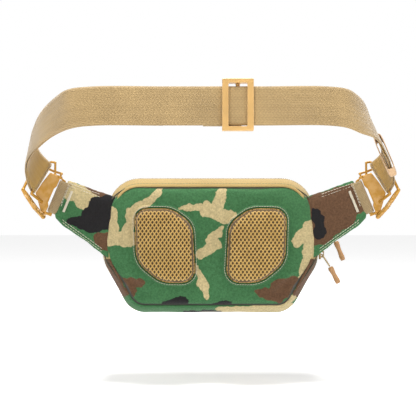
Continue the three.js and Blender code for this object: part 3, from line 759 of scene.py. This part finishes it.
def make_body():
    rear, front = Y_BACK + 1.2, Y_FRONT - 2.7
    band = 1.95
    place(gusset_shell("lower_gusset_cloth", rear, front, M_GUSSET, high=Z_ZIP_END, steps=18, slack=0.8),
          "bag_back", "camo", "lower_gusset", blend=GUSSET_FOLD)
    place(gusset_shell("rear_zipper_tape", rear, Y_MAIN_ZIP - band, M_TAPE, low=Z_ZIP_END, slack=0.5),
          "bag_back", "zipper_tape", "main_zipper_rear_tape")
    place(zipper_teeth("rear_zipper_teeth", Y_MAIN_ZIP, -1, Z_ZIP_END), "bag_back", "zipper_coil",
          "main_zipper_rear_coil")
    place(zipper_teeth("front_zipper_teeth", Y_MAIN_ZIP, 1, Z_ZIP_END), "bag_front", "zipper_coil",
          "main_zipper_front_coil", blend=MAIN_FOLD)
    place(gusset_shell("front_zipper_tape", Y_MAIN_ZIP + band, 1, M_TAPE, low=Z_ZIP_END, slack=0.3),
          "bag_front", "zipper_tape", "main_zipper_front_tape", blend=MAIN_FOLD)
    place(gusset_shell("middle_gusset_rear", 1, 9, M_CAMO, low=Z_ZIP_END, slack=0.4), "bag_front", "camo",
          "middle_gusset", blend=MAIN_FOLD)
    lower_front = gusset_shell("middle_gusset_sides", 9, front, M_CAMO, low=Z_ZIP_END, slack=0.4)
    trim_above(lower_front, Z_POCKET_END)
    place(lower_front, "bag_front", "camo", blend=MAIN_FOLD)
    place(gusset_shell("pocket_rear_tape", 9, Y_POCKET_ZIP - band, M_TAPE, low=Z_POCKET_END, slack=0.2),
          "bag_front", "zipper_tape", "pocket_zipper_rear_tape", blend=MAIN_FOLD)
    place(zipper_teeth("pocket_rear_teeth", Y_POCKET_ZIP, -1, Z_POCKET_END), "bag_front", "zipper_coil",
          "pocket_zipper_rear_coil", blend=MAIN_FOLD)
    place(zipper_teeth("pocket_front_teeth", Y_POCKET_ZIP, 1, Z_POCKET_END), "pocket_front", "zipper_coil",
          "pocket_zipper_front_coil", blend=POCKET_FOLD)
    place(gusset_shell("pocket_front_tape", Y_POCKET_ZIP + band, 23, M_TAPE, low=Z_POCKET_END, slack=0.2),
          "pocket_front", "zipper_tape", "pocket_zipper_front_tape", blend=POCKET_FOLD)
    place(gusset_shell("pocket_gusset_cloth", 23, front, M_CAMO, low=Z_POCKET_END, slack=0.3),
          "pocket_front", "camo", "pocket_gusset", blend=POCKET_FOLD)
    rows = resampled(PANEL, 4)
    reach = bulge(front)
    binding("front_seam_binding", front - 1.9, reach - 0.4, "pocket_front", POCKET_FOLD)
    binding("back_seam_binding", Y_BACK + 2.4, 0.6, "bag_back")
    profile = ((3.4, 33.4), (1.2, 31.5), (1.4, 25.5), (4.5, 23.5))
    rings = [outline_points(rows, inset - reach, y) for inset, y in profile]
    panel = puffed("front_panel_cloth", rings, M_CAMO, cap=3.5, voxel=4.0, pressure=3.0)
    place(panel, "pocket_front", "camo", "front_panel", blend=POCKET_FOLD)
    piping = Batch()
    piping.tube(outline_path(Y_FRONT - 1.5, reach + 0.2), 1.2, 8)
    place(piping.make("front_piping", M_PIPING), "pocket_front", "camo", blend=POCKET_FOLD)
    divider = Batch()
    divider.add(*closed_plate(resampled(PANEL, 6), 0, 5, 6))
    place(divider.make("divider_cloth", M_LINING, smooth=False), "bag_front", "lining", "pocket_divider",
          blend=MAIN_FOLD)
    for name, y, low, body, fold in (
        ("rear_band_stitches", -30.5, Z_ZIP_END, "bag_back", None),
        ("rear_tape_stitches", -15.4, Z_ZIP_END, "bag_back", None),
        ("front_tape_stitches", -0.4, Z_ZIP_END, "bag_front", MAIN_FOLD),
        ("middle_stitches", 2.6, Z_ZIP_END, "bag_front", MAIN_FOLD),
        ("pocket_band_stitches", 10.4, Z_POCKET_END, "bag_front", MAIN_FOLD),
        ("pocket_gusset_stitches", 24.6, Z_POCKET_END, "pocket_front", POCKET_FOLD),
    ):
        batch = Batch()
        wall_stitches(batch, y, low, radius=0.24)
        place(batch.make(name, M_GREEN_THREAD if "band" in name else M_THREAD), body, "camo", blend=fold)


def trim_above(obj, z):
    """Cuts away what lies above a height and closes the cut."""
    work = bmesh.new()
    work.from_mesh(obj.data)
    everything = work.verts[:] + work.edges[:] + work.faces[:]
    cut = bmesh.ops.bisect_plane(
        work, geom=everything, plane_co=(0, 0, z * MM), plane_no=(0, 0, 1), clear_outer=True)
    edges = [e for e in cut["geom_cut"] if isinstance(e, bmesh.types.BMEdge)]
    bmesh.ops.holes_fill(work, edges=edges, sides=0)
    work.to_mesh(obj.data)
    work.free()


# ---- Lumbar pads ----
CELL_X = 4.4
CELL_Z = 6.4
LATTICE_STEP = 0.55
THREAD_HEIGHT = 1.2
KNIT_EDGE = 3.7
PAD_STITCH_INSET = 1.9
BORDER_PROFILE = [  # outwards and in depth
    (-0.4, 3.0), (0.1, 1.6), (0.1, 0.2), (-0.6, -0.9),
    (-1.9, -1.3), (-3.2, -1.0), (-4.2, 0.6), (-4.2, 3.0),
]


def inside_depth(rows, x, z):
    """Distance of a point inside a convex-ish outline from its nearest edge, negative outside."""
    best = 1e9
    for i, a in enumerate(rows):
        b = rows[(i + 1) % len(rows)]
        nx, nz = b[1] - a[1], -(b[0] - a[0])
        size = math.hypot(nx, nz) or 1
        nx, nz = nx / size, nz / size
        if nx * a[2] + nz * a[3] < 0:
            nx, nz = -nx, -nz
        best = min(best, (a[0] - x) * nx + (a[1] - z) * nz)
    return best


def knit_material():
    """Golden threads round near-black cells; the mesh says which is which. The cells are the dark base seen
    through the knit's holes, darkened further as painted shade inside the holes.
    """
    kit = Nodes("spacer_mesh", roughness=0.8, sheen=0.3, specular=0.3)
    thread = kit.tree.nodes.new("ShaderNodeAttribute")
    thread.attribute_name = "thread"
    fibre = kit.noise(1400, 2)
    x, _, z = kit.axes()
    twist = kit.wave(kit.math("ADD", x, kit.math("MULTIPLY", z, 0.6)), 0.0008)
    cloud = kit.noise(40, 3)
    value = kit.weighted((fibre, 0.45), (twist, 0.3), (cloud, 0.3))
    golden = kit.mix(kit.step(value, 0.25, 0.85), (0.36, 0.2, 0.04), (0.8, 0.54, 0.18))
    kit.bump(kit.math("ADD", fibre, twist), 0.4, 0.0003)
    factor = kit.step(thread.outputs["Fac"], 0.1, 0.75)
    # painted shade: the cells' near-black colour is partly the dark base under the knit, partly the shade
    # inside its holes
    return kit.finish(kit.mix(factor, (0.06, 0.032, 0.009), golden))


M_KNIT = knit_material()


def make_pad(name, side):
    """A lumbar pad: a stitched cloth border, and a stuffed dome under an open diamond knit."""
    corners = [(-side * (x - PAD_X), z, radius) for x, z, radius in PAD_CORNERS]
    if side > 0:
        corners = corners[::-1]
    rows = rounded(corners, 8)
    dense = resampled([(x + nx * PAD_GROW, z + nz * PAD_GROW, nx, nz) for x, z, nx, nz in rows], 2.5)
    border = rolled_border(f"{name}_pad_border_cloth", dense)
    place(border, "bag_back", "camo", f"{name}_pad_border")
    profile = ((5.2, PAD_SEAT + 1), (4.4, PAD_SEAT - 5), (6.5, PAD_SEAT - 9.5), (11, PAD_SEAT - 11.5))
    rings = [outline_points(dense, inset, y) for inset, y in profile]
    dome = puffed(f"{name}_pad_core", rings, M_MESH_BASE, cap=5, voxel=4.0)
    clamp_depth(dome, PAD_SEAT + 1.5)
    place(dome, "bag_back", "foam", f"{name}_pad_foam")
    knit = knit_skin(f"{name}_pad_knit", dense, dome)
    place(knit, "bag_back", "spacer_mesh", f"{name}_pad_mesh")
    stitches = Batch()
    path = [Vector((x - nx * PAD_STITCH_INSET, PAD_SEAT - 0.4, z - nz * PAD_STITCH_INSET))
            for x, z, nx, nz in dense]
    stitch_line(stitches, path + path[:1], Vector((0, -1, 0)), lift=0.9, pitch=2.9, length=2.2, radius=0.24)
    place(stitches.make(f"{name}_pad_stitches", M_THREAD), "bag_back", "camo")


def rolled_border(name, rows):
    """The rolled cloth edge round a pad."""
    points = []
    for x, z, nx, nz in rows:
        points += [(x + nx * out, PAD_SEAT + y, z + nz * out) for out, y in BORDER_PROFILE]
    return new_object(name, points, loft(len(rows), len(BORDER_PROFILE), closed=True), M_BACK)


def knit_skin(name, rows, dome):
    """The open knit laid over the dome: raised threads in a diamond lattice, down to the border all round."""
    xs = [r[0] for r in rows]
    zs = [r[1] for r in rows]
    x_count = int((max(xs) - min(xs)) / LATTICE_STEP)
    z_count = int((max(zs) - min(zs)) / LATTICE_STEP)
    index, points, threads, faces = {}, [], [], []
    for i in range(x_count + 1):
        for j in range(z_count + 1):
            x, z = min(xs) + i * LATTICE_STEP, min(zs) + j * LATTICE_STEP
            depth = inside_depth(rows, x, z)
            if depth < KNIT_EDGE:
                continue
            hit, at, _, _ = dome.ray_cast(Vector((x * MM, -0.2, z * MM)), Vector((0, 1, 0)))
            surface = at.y / MM if hit else PAD_SEAT - 0.5
            rise = min(1, (depth - KNIT_EDGE) / 4.5)
            surface = (PAD_SEAT - 0.6) + (surface - (PAD_SEAT - 0.6)) * math.sin(rise * math.pi / 2) ** 1.2
            u, v = x / CELL_X, z / CELL_Z
            a = abs((u + v) % 1 - 0.5) * 2
            b = abs((u - v) % 1 - 0.5) * 2
            m = max(a, b)
            t = max(0, min(1, (m - 0.5) / 0.34))
            t = t * t * (3 - 2 * t)
            t = max(t, 1 - (depth - KNIT_EDGE) / 1.2)
            index[i, j] = len(points)
            points.append((x, surface - 0.25 - t * THREAD_HEIGHT, z))
            threads.append(t)
    for i in range(x_count):
        for j in range(z_count):
            corner = [(i, j), (i + 1, j), (i + 1, j + 1), (i, j + 1)]
            if all(c in index for c in corner):
                faces.append(tuple(index[c] for c in corner))
    made = new_object(name, points, faces, M_KNIT)
    attribute = made.data.attributes.new("thread", "FLOAT", "POINT")
    if len(made.data.vertices) == len(threads):
        attribute.data.foreach_set("value", threads)
    return made


# ---- Wings ----
STITCHES_FROM_X = 121
BARTACK_THREADS = 38


def make_wing(name, side):
    corners = [(-side * x, z, radius) for x, z, radius in WING_CORNERS]
    if side > 0:
        corners = corners[::-1]
    rows = resampled(rounded(corners, 6), 3)

    def lean(x):
        return Y_BACK + WING_SETBACK - math.tan(WING_TILT) * (abs(x) - WING_ROOT_X)

    def ring(inset, offset):
        return [(x - nx * inset, lean(x) + offset, z - nz * inset) for x, z, nx, nz in rows]

    material = M_LEFT if side < 0 else M_RIGHT
    rings = [ring(1.0, -3), ring(-0.2, -1.5), ring(-0.2, 1.5), ring(1.0, 3)]
    wing = puffed(f"{name}_wing_cloth", rings, material, cap=1.6, voxel=2.6, pressure=2.0)
    place(wing, "bag_back", "camo", f"{name}_wing")
    batch = Batch()
    face = Vector((0, -1, 0))
    edge = [Vector((x - nx * 3.2, lean(x) - 3.2, z - nz * 3.2))
            for x, z, nx, nz in rows if abs(x) > STITCHES_FROM_X]
    lower = sorted((p for p in edge if p.z < 104), key=lambda p: abs(p.x))
    upper = sorted((p for p in edge if p.z > 122), key=lambda p: abs(p.x))
    for path in (lower, upper):
        if len(path) > 2:
            stitch_line(batch, path, face, lift=0.6, radius=0.26)
            inner = [p + Vector((0, 0.1, 3.0 if path is lower else -3.0)) for p in path]
            stitch_line(batch, inner, face, lift=0.7, radius=0.26)
    place(batch.make(f"{name}_wing_stitches", M_THREAD), "bag_back", "camo")
    tack = Batch()
    foot = Vector((side * 162.5, lean(162.5) - 4.6, 114))
    head = Vector((side * 153.5, lean(153.5) - 4.6, 136.5))
    along = (head - foot).normalized()
    across = Vector((along.z, 0, -along.x))
    for k in range(BARTACK_THREADS):
        middle = foot.lerp(head, k / (BARTACK_THREADS - 1))
        tack.tube([middle - across * 1.3, middle + face * 0.35, middle + across * 1.3], 0.36, 6)
    place(tack.make(f"{name}_bartack", M_THREAD), "bag_back", "camo")


# ---- Strap ----
SECTIONS_PER_STATION = 8
TURN_STEPS = 12
KEEPER_STEPS = 48
KEEPER_HALF_WIDTH = 6.4
KEEPER_MARGIN = 1.8
KEEPER_MIDDLE = 0.4
KEEPER_HALF_DEPTH = 4.3
KEEPER_SQUARENESS = 0.35


def half_turn():
    """Angles from a quarter turn one way to a quarter turn the other."""
    return [math.pi / 2 - math.pi * k / TURN_STEPS for k in range(TURN_STEPS + 1)]


def catmull(points, t):
    """Centripetal Catmull-Rom place at t from 0 to 1, and the direction of travel there."""
    count = len(points) - 1

    def at(t):
        p = t * count
        i = min(int(p), count - 1)
        w = p - i
        p1, p2 = points[i], points[i + 1]
        p0 = points[i - 1] if i > 0 else p1 * 2 - p2
        p3 = points[i + 2] if i + 2 <= count else p2 * 2 - p1
        d0, d1, d2 = (max(1e-4, (b - a).length ** 0.5) for a, b in ((p0, p1), (p1, p2), (p2, p3)))
        t1 = ((p1 - p0) / d0 - (p2 - p0) / (d0 + d1) + (p2 - p1) / d1) * d1
        t2 = ((p2 - p1) / d1 - (p3 - p1) / (d1 + d2) + (p3 - p2) / d2) * d1
        return p1 + t1 * w + (p1 * -3 + p2 * 3 - t1 * 2 - t2) * w ** 2 + (p1 * 2 - p2 * 2 + t1 + t2) * w ** 3

    return at(t), at(min(1, t + 1e-4)) - at(max(0, t - 1e-4))


LOW_EDGE = [Vector(low) for low, _ in STRAP]
HIGH_EDGE = [Vector(high) for _, high in STRAP]


def strap_frame(station):
    low, low_travel = catmull(LOW_EDGE, station / LAST)
    high, high_travel = catmull(HIGH_EDGE, station / LAST)
    travel = (low_travel.normalized() + high_travel.normalized()).normalized()
    across = (high - low).normalized()
    return low, high, across, travel, across.cross(travel).normalized()


def near_buckle(s):
    """1 at either end of the strap, easing to 0 within BUCKLE_REACH stations."""
    t = max(0, min(1, max(BUCKLE_REACH - s, s - (LAST - BUCKLE_REACH)) / BUCKLE_REACH))
    return t * t * (3 - 2 * t)


def main_ply(s):
    return PLY_MAIN - (SPREAD - PLY_INNER + PLY_MAIN) * near_buckle(s)


def strip(name, sections, material, thickness=PLY, columns=14):
    """Webbing through sections of (low edge, high edge, normal), with a UV map in metres."""
    half = thickness / 2
    points, coords = [], []
    profile = []
    for c in range(columns + 1):
        t = c / columns
        thin = half * (1 - 0.55 * max(0, abs(2 * t - 1) - 0.9) / 0.1)
        profile.append((t, -thin))
    profile += [(t, -d) for t, d in reversed(profile)]
    k = len(profile)
    travelled = 0
    previous = None
    for low, high, normal in sections:
        middle = (low + high) / 2
        if previous is not None:
            travelled += (middle - previous).length
        previous = middle
        width = (high - low).length
        for t, d in profile:
            p = low.lerp(high, t)
            points.append(p + normal * d)
            coords.append((travelled * MM, t * width * MM))
    faces = loft(len(sections), k) + ends(len(sections), k, flip=True)
    made = new_object(name, points, faces, material)
    layer = made.data.uv_layers.new(name="strip")
    for loop in made.data.loops:
        layer.data[loop.index].uv = coords[loop.vertex_index]
    return made


def ply_sections(start, end, depth):
    """The strap's cross-sections between two stations, set in by depth(station)."""
    count = max(2, round((end - start) * SECTIONS_PER_STATION))
    sections = []
    for k in range(count + 1):
        s = start + (end - start) * k / count
        low, high, _, _, inward = strap_frame(s)
        shift = inward * depth(s)
        sections.append((low + shift, high + shift, inward))
    return sections


def fold_sections(station, side):
    """The webbing's turn round a buckle's rod."""
    low, high, _, travel, inward = strap_frame(station)
    away = travel * side
    centre_depth = PLY_INNER - SPREAD / 2
    turned = []
    for angle in half_turn():
        out = inward * math.sin(angle) + away * math.cos(angle)
        turned.append((low + inward * centre_depth + out * SPREAD / 2,
                       high + inward * centre_depth + out * SPREAD / 2, out))
    return turned


def make_strap():
    main = strip("strap_main_ply", ply_sections(0, LAST, main_ply), M_STRAP)
    place(main, "bag_back", "webbing", "strap_webbing")
    for name, station, side in (("left", 0, -1), ("right", LAST, 1)):
        fold = strip(f"{name}_strap_fold", fold_sections(station, side), M_STRAP)
        place(fold, "bag_back", "webbing")
    # The return and tail plies take the darker copy of the webbing: painted shade.
    second = ply_sections(FOLD_CLEARANCE, RETURN_END, lambda s: PLY_INNER)
    place(strip("strap_second_ply", second, M_STRAP_SHADED), "bag_back", "webbing", "strap_return")
    tail = ply_sections(TAIL_START, LAST - FOLD_CLEARANCE, lambda s: PLY_INNER)
    place(strip("strap_tail_ply", tail, M_STRAP_SHADED), "bag_back", "webbing", "strap_tail")


def make_keeper():
    """The elastic band round the folded tail."""
    low, high, across, travel, inward = strap_frame(KEEPER_STATION)
    centre = (low + high) / 2
    reach = (high - low).length / 2 + KEEPER_MARGIN
    sections = []
    for k in range(KEEPER_STEPS + 1):
        angle = 2 * math.pi * k / KEEPER_STEPS
        c, s = math.cos(angle), math.sin(angle)
        along_width = math.copysign(abs(c) ** KEEPER_SQUARENESS, c) * reach
        depth = KEEPER_MIDDLE + math.copysign(abs(s) ** KEEPER_SQUARENESS, s) * KEEPER_HALF_DEPTH
        at = centre + across * along_width + inward * depth
        normal = (across * (c / reach) + inward * (s / KEEPER_HALF_DEPTH)).normalized()
        sections.append((at - travel * KEEPER_HALF_WIDTH, at + travel * KEEPER_HALF_WIDTH, normal))
    keeper = strip("keeper_band", sections, M_ELASTIC, thickness=1.1, columns=8)
    place(keeper, "strap_keeper", "elastic", "strap_keeper")


def buckle_place(side, along, out, up):
    """A place in a buckle's own frame: along its bar, outwards along the strap, and towards the wearer."""
    u = Vector((math.sin(BUCKLE_LEAN), 0, math.cos(BUCKLE_LEAN)))
    v = Vector((-math.cos(BUCKLE_LEAN) * math.cos(WING_TILT), -math.sin(WING_TILT), math.sin(BUCKLE_LEAN)))
    p = Vector(BUCKLE_BAR) + u * along + v * out + u.cross(v).normalized() * up
    return Vector((-side * p.x, p.y, p.z))


LOOP_RADIUS = 3.6


def make_wing_loop(name, side):
    """Webbing sewn to the wing and folded round the buckle's inner bar."""
    path = [(-9.5, 1.5), (-7.2, 1.9), (-4.2, 3.1)]
    path += [(math.cos(a) * LOOP_RADIUS, math.sin(a) * LOOP_RADIUS) for a in half_turn()]
    path += [(-4.2, -3.1), (-7.2, -1.9), (-9.5, -1.5)]
    half = WEBBING / 2 - 0.3
    sections = []
    for k, (out, up) in enumerate(path):
        before, after = path[max(0, k - 1)], path[min(len(path) - 1, k + 1)]
        d_out, d_up = after[0] - before[0], after[1] - before[1]
        normal = (buckle_place(side, 0, d_up, -d_out) - buckle_place(side, 0, 0, 0)).normalized()
        sections.append((buckle_place(side, -half, out, up), buckle_place(side, half, out, up), normal))
    # The loop takes the darker copy of the webbing: painted shade.
    place(strip(f"{name}_loop_webbing_painted_shade", sections, M_LOOP_SHADED), "bag_back", "webbing", f"{name}_wing_loop")


def make_end_wrap():
    """The strap's end, wrapped round the tri-glide's centre bar."""
    low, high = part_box("strap_end_wrap")
    inside, outer = 3.5, (high.y - low.y) / 2 / MM
    middle_y = (high.y + low.y) / 2 / MM
    centre_x = high.x / MM - outer
    z_low, z_high = low.z / MM, high.z / MM
    path = [(x, inside) for x in np.linspace(low.x / MM, centre_x - 0.5, 14)]
    path += [(centre_x + math.cos(a) * inside, math.sin(a) * inside) for a in half_turn()]
    path += [(x, -inside) for x in np.linspace(centre_x - 0.5, low.x / MM, 14)]
    sections = []
    for k, (x, y) in enumerate(path):
        before, after = path[max(0, k - 1)], path[min(len(path) - 1, k + 1)]
        normal = Vector((after[1] - before[1], -(after[0] - before[0]), 0)).normalized()
        at = Vector((float(x), middle_y + y, 0))
        sections.append((at + Vector((0, 0, z_low)), at + Vector((0, 0, z_high)), normal))
    place(strip("end_wrap_webbing", sections, M_STRAP), "tri_glide", "webbing", "strap_end_wrap")


# ---- Hardware ----
def rounded_copy(name, node, body, slot, material, voxel, smooth):
    """A CAD piece with its edges softened, as cast and coated metal has them."""
    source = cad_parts[node]
    made = bpy.data.objects.new(name, source.data.copy())
    bpy.context.scene.collection.objects.link(made)
    made.data.materials.clear()
    made.data.materials.append(material)
    remesh = made.modifiers.new("remesh", "REMESH")
    remesh.mode = "VOXEL"
    remesh.voxel_size = voxel * MM
    soften = made.modifiers.new("soften", "SMOOTH")
    soften.factor = 0.5
    soften.iterations = smooth
    apply_modifiers(made)
    for face in made.data.polygons:
        face.use_smooth = True
    return place(made, body, slot, node)


BUCKLE_FACE = [(-22.6, 4.9), (-13, 4.9), (-9, 7.2), (6, 7.2), (11, 4.9), (20.5, 4.9),
               (22.6, 8), (21.8, 17.4), (9, 21), (-5, 23.6), (-22.6, 9.6)]


FACE_HALF = 1.45


def buckle_face(name, side):
    """The smooth stamped face of a buckle, with rolled edges."""
    count = len(BUCKLE_FACE)
    points = [buckle_place(side, u, v, n) for n in (-FACE_HALF, FACE_HALF) for u, v in BUCKLE_FACE]
    faces = loft(2, count) + ends(2, count, flip=True)
    made = new_object(f"{name}_buckle_face", points, faces, M_METAL, smooth=False)
    edge = made.modifiers.new("edge", "BEVEL")
    edge.width, edge.segments = 0.6 * MM, 3
    apply_modifiers(made)
    place(made, "bag_back", "coated_metal")


LOWER_RAIL_EXTRA = 0.9
LOWER_RAIL_TOP = 0.138  # metres
LOWER_RAIL_EASE = 0.006


def make_hardware():
    for name, side in (("left", -1), ("right", 1)):
        buckle_face(name, side)
        rounded_copy(f"{name}_buckle_plate", f"{name}_buckle_body", "bag_back", "coated_metal",
                     M_METAL, 0.42, 5)
        bail = rounded_copy(f"{name}_bail_wire", f"{name}_buckle_bail", f"{name}_bail", "coated_metal",
                            M_METAL, 0.42, 4)
        for vertex in bail.data.vertices:
            share = max(0, min(1, (LOWER_RAIL_TOP - vertex.co.z) / LOWER_RAIL_EASE))
            vertex.co += vertex.normal * share * LOWER_RAIL_EXTRA * MM
    # The tri-glide takes the lighter copy of the coat: painted light.
    rounded_copy("glide_frame", "tri_glide", "tri_glide", "coated_metal", M_GLIDE_LIT, 0.45, 5)
    for name in ("main", "pocket"):
        rounded_copy(f"{name}_slider_body", f"{name}_slider", f"{name}_slider", "slider_metal",
                     M_SLIDER, 0.3, 3)
        rounded_copy(f"{name}_grip", f"{name}_pull_grip", f"{name}_pull", "pull_grip", M_GRIP, 0.3, 4)
        rounded_copy(f"{name}_cord", f"{name}_pull_cord", f"{name}_pull", "pull_cord", M_CORD, 0.3, 3)


# ---- Floor, light and camera ----
FLOOR_HALF = 6000
CAMERA_AT = (-0.003, -1.135, 0.1181)
CAMERA_ANGLE = math.radians(23.73)
WORLD_STRENGTH = 0.42
# Name, place, aim, power in watts and width in metres.
LIGHTS = (
    ("key", (-0.7, -1.2, 1.4), (0, -0.05, 0.1), 13, 0.6),
    ("fill", (1.2, -1.1, 0.5), (0, -0.05, 0.1), 6, 1.2),
    ("top", (0, -0.1, 1.6), (0, 0, 0.1), 23, 0.4),
    ("rim", (0.3, 1.2, 1.0), (0, 0, 0.1), 10, 0.8),
)


def make_stage():
    kit = Nodes("floor", roughness=0.9, specular=0.1)
    grain = kit.noise(4, 3)
    floor_material = kit.finish(kit.mix(grain, (0.93, 0.93, 0.93), (0.97, 0.97, 0.97)))
    kit.shader.inputs["Emission Color"].default_value = (1, 1, 1, 1)
    x, y, _ = kit.axes()
    away = kit.math("SQRT", kit.weighted((x, x), (y, y)))
    glow = kit.math("MULTIPLY", kit.step(away, 0.3, 1.1), 0.5)
    kit.feed(kit.shader.inputs["Emission Strength"], glow)
    corners = [(sx * FLOOR_HALF, sy * FLOOR_HALF, FLOOR_Z / MM)
               for sx, sy in ((-1, -1), (1, -1), (1, 1), (-1, 1))]
    floor = new_object("floor", corners, [(0, 1, 2, 3)], floor_material, smooth=False)
    world = bpy.data.worlds.new("studio")
    world.use_nodes = True
    tree = world.node_tree
    lighting = tree.nodes["Background"]
    lighting.inputs[0].default_value = (1, 1, 1, 1)
    lighting.inputs[1].default_value = WORLD_STRENGTH
    backdrop = tree.nodes.new("ShaderNodeBackground")
    backdrop.inputs[0].default_value = (1, 1, 1, 1)
    mixed = tree.nodes.new("ShaderNodeMixShader")
    rays = tree.nodes.new("ShaderNodeLightPath")
    tree.links.new(rays.outputs["Is Camera Ray"], mixed.inputs[0])
    tree.links.new(lighting.outputs[0], mixed.inputs[1])
    tree.links.new(backdrop.outputs[0], mixed.inputs[2])
    tree.links.new(mixed.outputs[0], tree.nodes["World Output"].inputs[0])
    bpy.context.scene.world = world
    for name, at, aim, power, width in LIGHTS:
        data = bpy.data.lights.new(name, "AREA")
        data.energy = power
        data.size = width
        light = bpy.data.objects.new(name, data)
        light.location = at
        light.rotation_euler = (Vector(aim) - Vector(at)).to_track_quat("-Z", "Y").to_euler()
        bpy.context.scene.collection.objects.link(light)
    data = bpy.data.cameras.new("camera")
    data.sensor_fit = "HORIZONTAL"
    data.angle = CAMERA_ANGLE
    data.clip_end = 50
    camera = bpy.data.objects.new("camera", data)
    camera.location = CAMERA_AT
    camera.rotation_euler = (math.radians(90), 0, 0)
    bpy.context.scene.collection.objects.link(camera)
    bpy.context.scene.camera = camera
    bpy.context.scene.view_settings.view_transform = "Standard"


make_stage()
make_back()
make_body()
for pad_name, pad_side in (("left", -1), ("right", 1)):
    make_pad(pad_name, pad_side)
    make_wing(pad_name, pad_side)
    make_wing_loop(pad_name, pad_side)
make_strap()
make_keeper()
make_end_wrap()
make_hardware()
